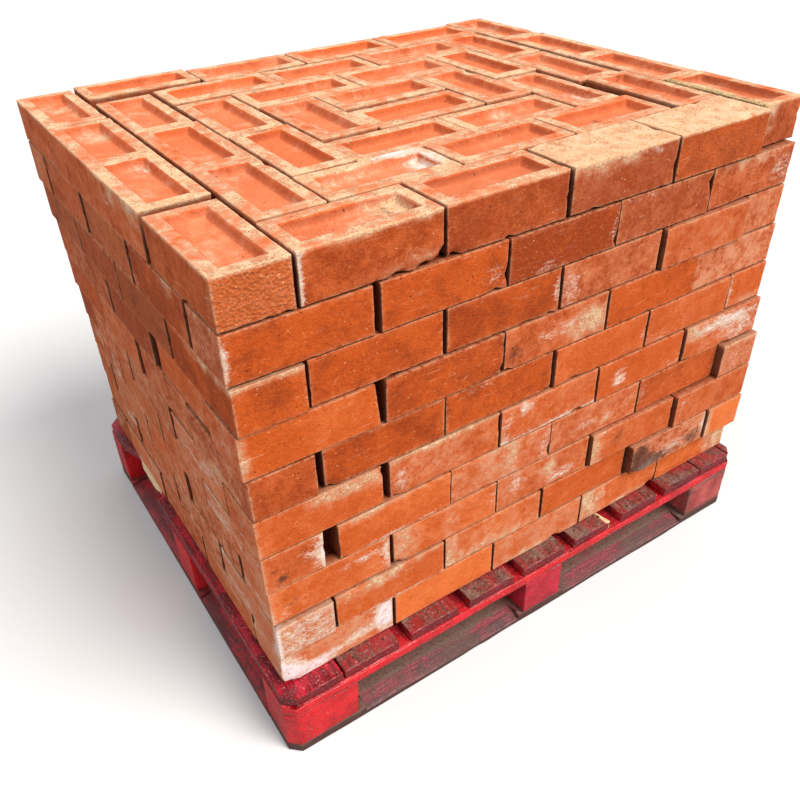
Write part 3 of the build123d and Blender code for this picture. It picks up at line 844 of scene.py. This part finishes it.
def brick_material():
    g = Graph("fired_clay")
    tone, other = g.attribute("tone"), g.attribute("other")
    spot = g.attribute("spot")["Vector"]
    moss, joint = g.attribute("moss")["Fac"], g.attribute("joint")["Fac"]
    tint, sand, lime = g.parts(tone["Color"])
    wear, frog, pink = g.parts(other["Color"])
    scorch, grit = tone["Alpha"], other["Alpha"]

    broad = g.noise(spot, 13, 3, 0.55)
    patch = g.noise(spot, 40, 4, 0.6, 0.4)
    mid = g.noise(spot, 120, 3, 0.6)
    fine = g.noise(spot, 270, 3, 0.65)
    grain = g.noise(spot, 800, 2, 0.6)

    shade = g.plus(tint, g.sway(broad, 0.7), g.sway(patch, 0.6), g.sway(mid, 0.35))
    clay = g.mix(g.ramp(shade, 0.0, 0.5), (158, 58, 8), (206, 86, 20))
    clay = g.mix(g.ramp(shade, 0.45, 1.05), clay, (238, 122, 60))
    dusty = g.mix(g.ramp(g.plus(patch, broad), 0.7, 1.3), (206, 108, 68), (224, 146, 108))
    clay = g.mix(g.times(pink, g.ramp(g.plus(mid, patch), 0.6, 1.3), clamp=True), clay, dusty)
    clay = g.over(clay, frog, 0.6, g.mix(broad, (228, 110, 62), (246, 150, 106)))

    # fine light and dark grains of the pressed surface
    for mask, low, high, strength, color in (
            (fine, 0.52, 0.78, 0.36, (240, 142, 76)), (fine, 0.46, 0.22, 0.50, (132, 50, 16)),
            (grain, 0.58, 0.72, 0.26, (244, 168, 108)), (grain, 0.42, 0.30, 0.30, (116, 44, 16))):
        clay = g.over(clay, g.ramp(mask, low, high), strength, color)

    # coarse sanded faces
    lump = g.noise(spot, 290, 3, 0.7)
    clay = g.mix(g.times(grit, 0.35, True), clay, (206, 112, 62))
    clay = g.mix(g.times(g.times(g.ramp(lump, 0.45, 0.30), grit), 0.35, True), clay, (112, 50, 24))
    clay = g.mix(g.times(g.times(g.ramp(lump, 0.56, 0.68), grit), 0.40, True), clay, (244, 182, 132))

    # thin scratches, along the brick and across it
    for turn, low in (((0, 0, 0), 0.69), ((0.5, 0.6, 0.4), 0.70)):
        line = g.noise(g.scaled(g.turned(spot, turn), 16, 330, 330), 1.0, 2, 0.5, 0.2)
        line = g.times(g.ramp(line, low, low + 0.05), g.ramp(g.noise(spot, 22, 2), 0.45, 0.6))
        clay = g.over(clay, line, 0.45, (242, 176, 134))

    # pale scuffs along the brick
    scuff = g.noise(g.scaled(spot, 14, 90, 120), 1.0, 4, 0.65, 0.3)
    scuff = g.times(g.ramp(scuff, 0.58, 0.74), g.ramp(broad, 0.42, 0.62))
    clay = g.over(clay, scuff, 0.30, (234, 168, 134))

    # sand of the mould: a pale bloom and cream grains, in patches and along the rims
    there = g.least(g.times(sand, 3.0), 1.0)
    bloom = g.ramp(g.plus(g.times(sand, 0.8), g.sway(patch, 1.2)), -0.1, 0.7)
    bloom = g.times(bloom, there, clamp=True)
    clay = g.over(clay, bloom, 0.75, g.mix(g.ramp(patch, 0.3, 0.7), (232, 142, 100), (244, 182, 142)))
    sandy = g.plus(g.times(sand, 0.85), g.sway(patch, 1.7), g.sway(mid, 1.1), g.sway(fine, 1.6),
                   g.sway(grain, 1.4))
    sandy = g.times(g.ramp(sandy, 0.44, 0.86), there, clamp=True)
    cream = g.mix(g.ramp(g.plus(fine, patch), 0.7, 1.35), (220, 166, 118), (246, 214, 174))
    cream = g.over(cream, g.ramp(g.cells(spot, 300), 0.36, 0.14), 0.70, (136, 104, 78))
    grains = g.times(g.ramp(g.cells(spot, 170), 0.40, 0.20), g.ramp(g.noise(spot, 60, 3), 0.46, 0.58))
    cream = g.over(cream, grains, 0.65, (112, 76, 50))
    clay = g.over(clay, sandy, 0.80, cream)

    # lime that has come out of the clay
    smear = g.noise(g.scaled(spot, 34, 60, 90), 1.0, 5, 0.7, 0.8)
    white = g.plus(g.times(g.least(lime, 1.1), 0.8), g.sway(smear, 1.8), g.sway(fine, 0.8))
    white = g.times(g.ramp(white, 0.30, 0.95), g.least(g.times(lime, 2.5), 1.0), clamp=True)
    chalk = g.mix(g.ramp(mid, 0.3, 0.7), (222, 184, 156), (244, 230, 214))
    chalk = g.mix(g.ramp(lime, 1.1, 1.9), chalk, (250, 238, 238))
    clay = g.over(clay, white, 0.90, chalk)

    # scorched and dirty places
    burnt = g.plus(g.times(scorch, 0.9), g.sway(g.noise(spot, 80, 4, 0.7), 1.8))
    burnt = g.times(g.ramp(burnt, 0.35, 1.05), g.least(g.times(scorch, 3.0), 1.0), clamp=True)
    clay = g.over(clay, burnt, 0.80, (70, 42, 34))

    # moss on the brick that has slid out
    green = g.times(moss, g.ramp(g.noise(spot, 60, 4, 0.7), 0.36, 0.5), clamp=True)
    clay = g.over(clay, green, 0.85, g.mix(g.ramp(fine, 0.35, 0.6), (66, 62, 30), (186, 176, 108)))

    # pits, arrises rubbed pale with a painted highlight, pale stones, and painted shade in the gaps, along
    # the bed lines and on the frog walls
    pit = g.times(g.ramp(g.cells(spot, 62), 0.12, 0.05), g.ramp(g.noise(spot, 25), 0.46, 0.6))
    clay = g.over(clay, pit, 0.7, (96, 40, 22))
    # arrises lightened along every edge: partly rubbed wear, partly a painted highlight
    clay = g.over(clay, g.times(wear, g.ramp(mid, 0.36, 0.58), clamp=True), 0.6, (240, 172, 128))
    stone = g.times(g.ramp(g.cells(spot, 75), 0.11, 0.06), g.ramp(g.noise(spot, 31), 0.44, 0.56))
    clay = g.over(clay, stone, 0.6, (246, 204, 166))
    # painted shade in the gaps between bricks, along the bed lines and on the frog walls
    clay = g.mix(g.least(joint, 0.9), clay, (74, 36, 22))

    coarse = g.times(g.plus(g.cells(spot, 190), lump), grit)
    height = g.plus(g.times(patch, 0.8), g.times(mid, 0.55), g.times(fine, 0.55), g.times(grain, 0.30),
                    g.times(coarse, 1.1), g.times(sandy, 0.25))
    height = g.minus(height, g.times(pit, 1.0))
    return g.finish(clay, g.plus(0.72, g.times(fine, 0.25)), height, 0.9, 0.0022)


clay = brick_material()


def build_course(course):
    """All bricks of one course as one piece, in the places of its solids."""
    node = f"brick_course_{course:02d}"
    names = layout(course)
    bricks, faces, base = [], [], 0
    for spot in islands(nodes[node]):
        distance = [math.hypot(spot["x"] - name[3], spot["y"] - name[4]) for name in names]
        brick = Brick(course, spot, *names[int(np.argmin(distance))][:3])
        bricks.append(brick)
        faces.extend([[v + base for v in face] for face in brick.shape["faces"]])
        base += len(brick.world)
    obj = add_mesh(f"bricks_{course:02d}", np.concatenate([brick.world for brick in bricks]), faces, clay)
    for name in ("tone", "other", "spot", "moss", "joint"):
        store(obj.data, name, np.concatenate([brick.fields[name] for brick in bricks]))
    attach(obj, "root")
    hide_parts(node)


for course in range(1, COURSES + 1):
    build_course(course)


# Timber of the pallet

def wood_material(name, along, top, side, dirt, rough, bare, ends=None):
    """Worn red paint on sawn wood, its grain along X or Y. The top and the sides have two shades each."""
    g = Graph(name, specular=0.5)
    here = g.here()
    normal = g.axes(g.node("ShaderNodeNewGeometry").outputs["Normal"])
    worn, raw = g.attribute("worn")["Fac"], g.attribute("raw")["Fac"]
    stretch = {"x": (6, 90, 90), "y": (90, 6, 90)}[along]
    streak = g.noise(g.scaled(here, *stretch), 1.0, 4, 0.6, 0.6)
    fibre = g.noise(g.scaled(here, *(s * 5 for s in stretch)), 1.0, 3, 0.65)
    blotch = g.noise(here, 16, 4, 0.6, 0.3)
    speck = g.noise(here, 150, 4, 0.7)

    paint = g.mix(g.ramp(blotch, 0.35, 0.65), *side)
    if ends is not None:
        paint = g.over(paint, g.ramp(g.math("ABSOLUTE", normal["Y"]), 0.6, 0.9), 0.75, ends)
    flat_paint = g.mix(g.ramp(g.plus(blotch, g.minus(streak, 0.5)), 0.36, 0.60), *top)
    paint = g.mix(g.ramp(normal["Z"], 0.6, 0.85), paint, flat_paint)

    # bare wood where the paint has gone
    wood = g.mix(g.ramp(streak, 0.35, 0.65), (168, 122, 104), (108, 72, 62))
    wood = g.mix(g.ramp(fibre, 0.5, 0.7), wood, (74, 46, 42))
    bared = g.plus(g.times(worn, 0.34), g.sway(streak, 1.0), g.sway(speck, 0.9))
    bared = g.ramp(bared, 0.55 - bare, 0.75 - bare)
    color = g.over(paint, bared, 0.85, wood)

    # dark fibres, knocks and pale flecks
    color = g.mix(g.times(g.ramp(fibre, 0.46, 0.30), 0.35), color, (52, 16, 18))
    knock = g.times(g.ramp(g.cells(here, 95), 0.22, 0.10), g.ramp(g.noise(here, 30), 0.40, 0.52))
    color = g.over(color, knock, 0.8, (50, 14, 18))
    fleck = g.times(g.ramp(g.noise(here, 330, 2), 0.62, 0.69), g.ramp(speck, 0.4, 0.6))
    color = g.over(color, fleck, 0.6, (236, 196, 190))

    # mud on what lies flat, and splashed up from the ground
    mud = g.times(g.ramp(normal["Z"], 0.965, 0.985), 0.35)
    mud = g.ramp(g.plus(mud, g.sway(blotch, 1.1), g.sway(speck, 0.7)), 0.6 - dirt, 1.0 - dirt)
    mud = g.times(mud, 0.9)
    color = g.mix(mud, color, g.mix(speck, (98, 74, 62), (150, 122, 104)))
    splash = g.plus(g.ramp(g.axes(here)["Z"], 0.07, -0.01), g.sway(speck, 1.6))
    color = g.over(color, g.ramp(splash, 0.45, 0.95), 0.75, (74, 46, 40))

    # fresh wood where it has split
    fresh = g.mix(g.ramp(fibre, 0.35, 0.7), (255, 226, 178), (222, 176, 124))
    split = g.times(raw, g.ramp(g.plus(raw, g.minus(streak, 0.5)), 0.4, 0.7), clamp=True)
    color = g.mix(split, color, fresh)

    dull = g.math("MAXIMUM", g.times(bared, 0.5), mud)
    dull = g.plus(rough, g.times(dull, 0.85 - rough), g.sway(speck, 0.3))
    height = g.plus(g.times(streak, 0.9), g.times(fibre, 0.6), g.times(speck, 0.5), g.times(blotch, 0.6))
    return g.finish(color, dull, g.minus(height, g.times(bared, 0.4)), 0.8, 0.0016)


bright = ((236, 28, 38), (198, 16, 28))
crimson = ((214, 32, 58), (168, 20, 38))
maroon = ((146, 40, 42), (84, 42, 40))
deep_red = ((178, 24, 36), (96, 18, 26))
muddy = ((96, 40, 40), (66, 38, 36))
faded = ((206, 92, 86), (160, 58, 56))
end_grain = (110, 22, 28)
deck_wood = wood_material("deck_paint", "y", maroon, deep_red, 0.38, 0.30, 0.24, end_grain)
edge_wood = wood_material("edge_board_paint", "y", ((186, 24, 46), (110, 20, 32)), deep_red,
                          0.14, 0.20, 0.15, end_grain)
bearer_wood = wood_material("bearer_paint", "x", ((196, 30, 40), (150, 26, 32)), bright, 0.0, 0.28, 0.06)
block_wood = wood_material("block_paint", "y", maroon, bright, 0.02, 0.32, 0.10)
centre_wood = wood_material("centre_block_paint", "x", maroon, crimson, 0.02, 0.40, 0.24)
worn_wood = wood_material("worn_block_paint", "x", maroon, faded, 0.30, 0.5, 0.46)
base_wood_x = wood_material("base_paint_x", "x", ((158, 46, 62), (98, 48, 50)), muddy, 0.70, 0.45, 0.14)
base_wood_y = wood_material("base_paint_y", "y", ((222, 28, 48), (136, 22, 36)), deep_red, 0.40, 0.34, 0.10)

# Fresh wood of split boards, between these values of X and of Y
chip_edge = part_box("deck_board_6")[1][0]
raw_places = {
    "deck_board_1": ((-0.592, -0.573), (0.150, 0.318)),
    "deck_board_6": ((chip_edge - 0.0165, chip_edge + 0.001), (-0.4965, -0.405)),
}

# The strip torn off the left board leaves a slanting face: how far in from the board's
# edge it lies in the solid, how far out it reaches at its top and foot, and its ends along Y
torn_faces = {"deck_board_1": (0.022, 0.002, 0.009, 0.165, 0.315)}
TIMBER_STEP = 0.014         # how far apart the points of the timber are
EASE = 0.0012               # how far its edges are eased


def cut_up(bm, low, high):
    """Cuts the piece along even planes, so that it has enough points to be uneven."""
    for axis in range(3):
        size = high[axis] - low[axis]
        count = max(2, round(size / TIMBER_STEP))
        cuts = [low[axis] + size * n / count for n in range(1, count)]
        cuts += [low[axis] + 0.004, high[axis] - 0.004]
        for cut in sorted(cuts):
            at, normal = Vector((0, 0, 0)), Vector((0, 0, 0))
            at[axis], normal[axis] = cut, 1
            everything = bm.verts[:] + bm.edges[:] + bm.faces[:]
            bmesh.ops.bisect_plane(bm, geom=everything, plane_co=at, plane_no=normal, dist=1e-6)
    bmesh.ops.triangulate(bm, faces=[f for f in bm.faces if len(f.verts) > 4])
    bm.normal_update()


def edge_distance(points, segments):
    """How far each point is from the nearest of the segments."""
    a = segments[:, 0]
    ab = segments[:, 1] - a
    t = np.einsum("pij,ij->pi", points[:, None] - a[None], ab) / np.maximum((ab ** 2).sum(1), 1e-12)
    nearest = a[None] + np.clip(t, 0, 1)[..., None] * ab[None]
    return np.linalg.norm(points[:, None] - nearest, axis=2).min(1)


def timber(node, material):
    """A piece of the pallet with eased, splintered edges, made from its solid."""
    bm = bmesh.new()
    bm.from_mesh(nodes[node].data)
    bmesh.ops.remove_doubles(bm, verts=bm.verts, dist=1e-5)
    bmesh.ops.dissolve_limit(bm, angle_limit=math.radians(1), verts=bm.verts, edges=bm.edges)
    sharp = [e for e in bm.edges if len(e.link_faces) == 2 and e.calc_face_angle(0) > math.radians(20)]
    segments = np.array([[list(v.co) for v in e.verts] for e in sharp])
    bmesh.ops.bevel(bm, geom=sharp, offset=EASE, segments=2, profile=0.5, affect="EDGES", clamp_overlap=True)
    low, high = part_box(node)
    cut_up(bm, low, high)
    points = np.array([v.co[:] for v in bm.verts])
    normals = np.array([v.normal[:] for v in bm.verts])
    rings = [[v.index for v in f.verts] for f in bm.faces]
    bm.free()
    # Blender may start these faces at any corner, so each is turned to start at its first point
    starts = [ring.index(min(ring)) for ring in rings]
    faces = sorted(ring[start:] + ring[:start] for ring, start in zip(rings, starts))

    edge = edge_distance(points, segments)
    moved = points + sum(ord(c) for c in node) * 0.37
    grain = (0.09, 0.012, 0.012) if high[0] - low[0] > high[1] - low[1] else (0.012, 0.09, 0.012)
    inward = 0.0003 + 0.0003 * noise(moved, 0.05, 1)
    inward += near_to(edge, 0.003) * (0.0004 + 0.0022 * patches(moved, grain, 2))
    inward += near_to(edge, 0.007) * 0.005 * patches(moved, grain, 3, -0.55)
    points = points - normals * np.maximum(inward, 0)[:, None]
    x, y, z = points.T
    raw = np.zeros(len(points))
    if node in raw_places:
        (x0, x1), (y0, y1) = raw_places[node]
        raw[(x > x0) & (x < x1) & (y > y0) & (y < y1)] = 1
    if node in torn_faces:
        inset, top_reach, foot_reach, start, end = torn_faces[node]
        share = smooth(y, start, start + 0.03) * (1 - smooth(y, end - 0.02, end))
        depth = (high[2] - z) / (high[2] - low[2])
        reach = top_reach + (foot_reach - top_reach) * depth + 0.002 * noise(moved, grain, 4)
        points[:, 0] -= reach * share * (np.abs(x - low[0] - inset) < 0.003)
    obj = add_mesh(f"{node}_worn", points, faces, material)
    store(obj.data, "worn", near_to(edge, 0.006))
    store(obj.data, "raw", raw)
    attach(obj, "root")
    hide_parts(node)


# The wood of each piece, by how its name starts. The first that fits counts.
woods = (
    ("deck_board_1", edge_wood), ("deck_board", deck_wood), ("stringer", bearer_wood),
    ("block_front_centre", centre_wood), ("block_front_right", worn_wood), ("block", block_wood),
    ("base_board_front", base_wood_x), ("base_board_back", base_wood_x), ("base_board", base_wood_y),
)
for node in sorted(nodes):
    fitting = [wood for start, wood in woods if node.startswith(start)]
    if fitting:
        timber(node, fitting[0])


# Nails, three across each board over each stringer

NAIL_ROWS = (-0.45, 0.0, 0.45)                              # the stringers, along Y
NAIL_PLACES = ((0.2, -0.028), (0.5, 0.022), (0.8, -0.024))  # share of the board's width, Y from the row
NAIL_SIDES = 10
NAIL_RINGS = ((0.0042, PALLET_TOP - 0.0022), (0.0040, PALLET_TOP - 0.0007),
              (0.0026, PALLET_TOP - 0.0003))                # radius and level


def nail_material():
    g = Graph("rusty_nails")
    rust = g.noise(g.here(), 300, 3, 0.6)
    g.shader.inputs["Metallic"].default_value = 0.4
    color = g.mix(rust, (58, 40, 34), (108, 66, 44))
    return g.finish(color, g.plus(0.55, g.times(rust, 0.3)), rust, 0.4, 0.0004)


def nails():
    rng = np.random.default_rng(11)
    points, faces = [], []
    for number in range(1, 10):
        low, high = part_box(f"deck_board_{number}")
        for row in NAIL_ROWS:
            for share, dy in NAIL_PLACES:
                x = low[0] + (high[0] - low[0]) * share + rng.uniform(-0.006, 0.006)
                y = row + dy + rng.uniform(-0.008, 0.008)
                base = len(points)
                for radius, z in NAIL_RINGS:
                    for n in range(NAIL_SIDES):
                        a = math.tau * n / NAIL_SIDES
                        points.append((x + radius * math.cos(a), y + radius * math.sin(a), z))
                rings = [list(range(at, at + NAIL_SIDES)) for at in range(base, len(points), NAIL_SIDES)]
                for below, above in zip(rings, rings[1:]):
                    for n in range(NAIL_SIDES):
                        m = (n + 1) % NAIL_SIDES
                        faces.append([below[n], below[m], above[m], above[n]])
                faces.append(rings[-1])
                faces.append(rings[0][::-1])
    obj = add_mesh("nail_heads", points, faces, nail_material())
    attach(obj, "root")


nails()


# Floor, light and camera

def floor():
    """A pale floor, which throws less light on the object than the camera sees."""
    bpy.ops.mesh.primitive_plane_add(size=30, location=(0, 0, -0.0005))
    obj = bpy.context.object
    obj.name = "floor"
    g = Graph("floor", specular=0.0)
    seen = g.node("ShaderNodeLightPath").outputs["Is Camera Ray"]
    made = g.node("ShaderNodeMix", data_type="RGBA")
    g.put(made.inputs["Factor"], seen)
    g.put(made.inputs["A"], (0.30, 0.29, 0.28, 1))
    g.put(made.inputs["B"], (0.80, 0.79, 0.78, 1))
    g.put(g.shader.inputs["Base Color"], made.outputs["Result"])
    g.put(g.shader.inputs["Roughness"], 0.9)
    obj.data.materials.append(g.material)


def sky(strength, color):
    """Soft light from all around. The camera sees plain white instead."""
    world = bpy.data.worlds.new("sky")
    bpy.context.scene.world = world
    world.use_nodes = True
    tree = world.node_tree
    background = tree.nodes["Background"]
    background.inputs["Color"].default_value = color
    background.inputs["Strength"].default_value = strength
    white = tree.nodes.new("ShaderNodeBackground")
    white.inputs["Color"].default_value = (1, 1, 1, 1)
    white.inputs["Strength"].default_value = 1.0
    path = tree.nodes.new("ShaderNodeLightPath")
    both = tree.nodes.new("ShaderNodeMixShader")
    tree.links.new(path.outputs["Is Camera Ray"], both.inputs["Fac"])
    tree.links.new(background.outputs[0], both.inputs[1])
    tree.links.new(white.outputs[0], both.inputs[2])
    tree.links.new(both.outputs[0], tree.nodes["World Output"].inputs["Surface"])


def light(name, kind, power, color, place, aim, **settings):
    """A lamp at that place which shines along aim."""
    lamp = bpy.data.lights.new(name, kind)
    lamp.energy = power
    lamp.color = color
    for key, value in settings.items():
        setattr(lamp, key, value)
    obj = bpy.data.objects.new(name, lamp)
    obj.location = place
    obj.rotation_euler = Vector(aim).to_track_quat("-Z", "Y").to_euler()
    bpy.context.scene.collection.objects.link(obj)


def make_camera():
    """The camera that was fitted to the corners in the photograph."""
    azimuth, elevation, roll = math.radians(32.82), math.radians(36.015), math.radians(-1.594)
    level = math.cos(elevation)
    forward = Vector((math.sin(azimuth) * level, math.cos(azimuth) * level, -math.sin(elevation)))
    right = forward.cross(Vector((0, 0, 1))).normalized()
    up = right.cross(forward)
    level_right = right * math.cos(roll) + up * math.sin(roll)
    level_up = up * math.cos(roll) - right * math.sin(roll)
    data = bpy.data.cameras.new("camera")
    data.sensor_width = 36
    data.sensor_fit = "HORIZONTAL"
    data.lens = 798.715 / 800 * 36
    data.clip_start, data.clip_end = 0.05, 100
    obj = bpy.data.objects.new("camera", data)
    turn = Matrix((level_right, level_up, -forward)).transposed()
    obj.matrix_world = Matrix.Translation((-0.85613, -1.29018, 1.38955)) @ turn.to_4x4()
    bpy.context.scene.collection.objects.link(obj)
    bpy.context.scene.camera = obj


floor()
sky(0.56, (0.95, 0.97, 1.0, 1))
light("key", "SUN", 3.5, (1.0, 0.98, 0.95), (0, 0, 0), (-3.4, 6.6, -8.6), angle=math.radians(34))
light("fill", "AREA", 110, (0.92, 0.96, 1.0), (-6.0, -2.0, 5.0), (6.0, 2.0, -4.5),
      shape="RECTANGLE", size=4.0, size_y=4.0)
make_camera()
bpy.context.scene.view_settings.view_transform = "Standard"
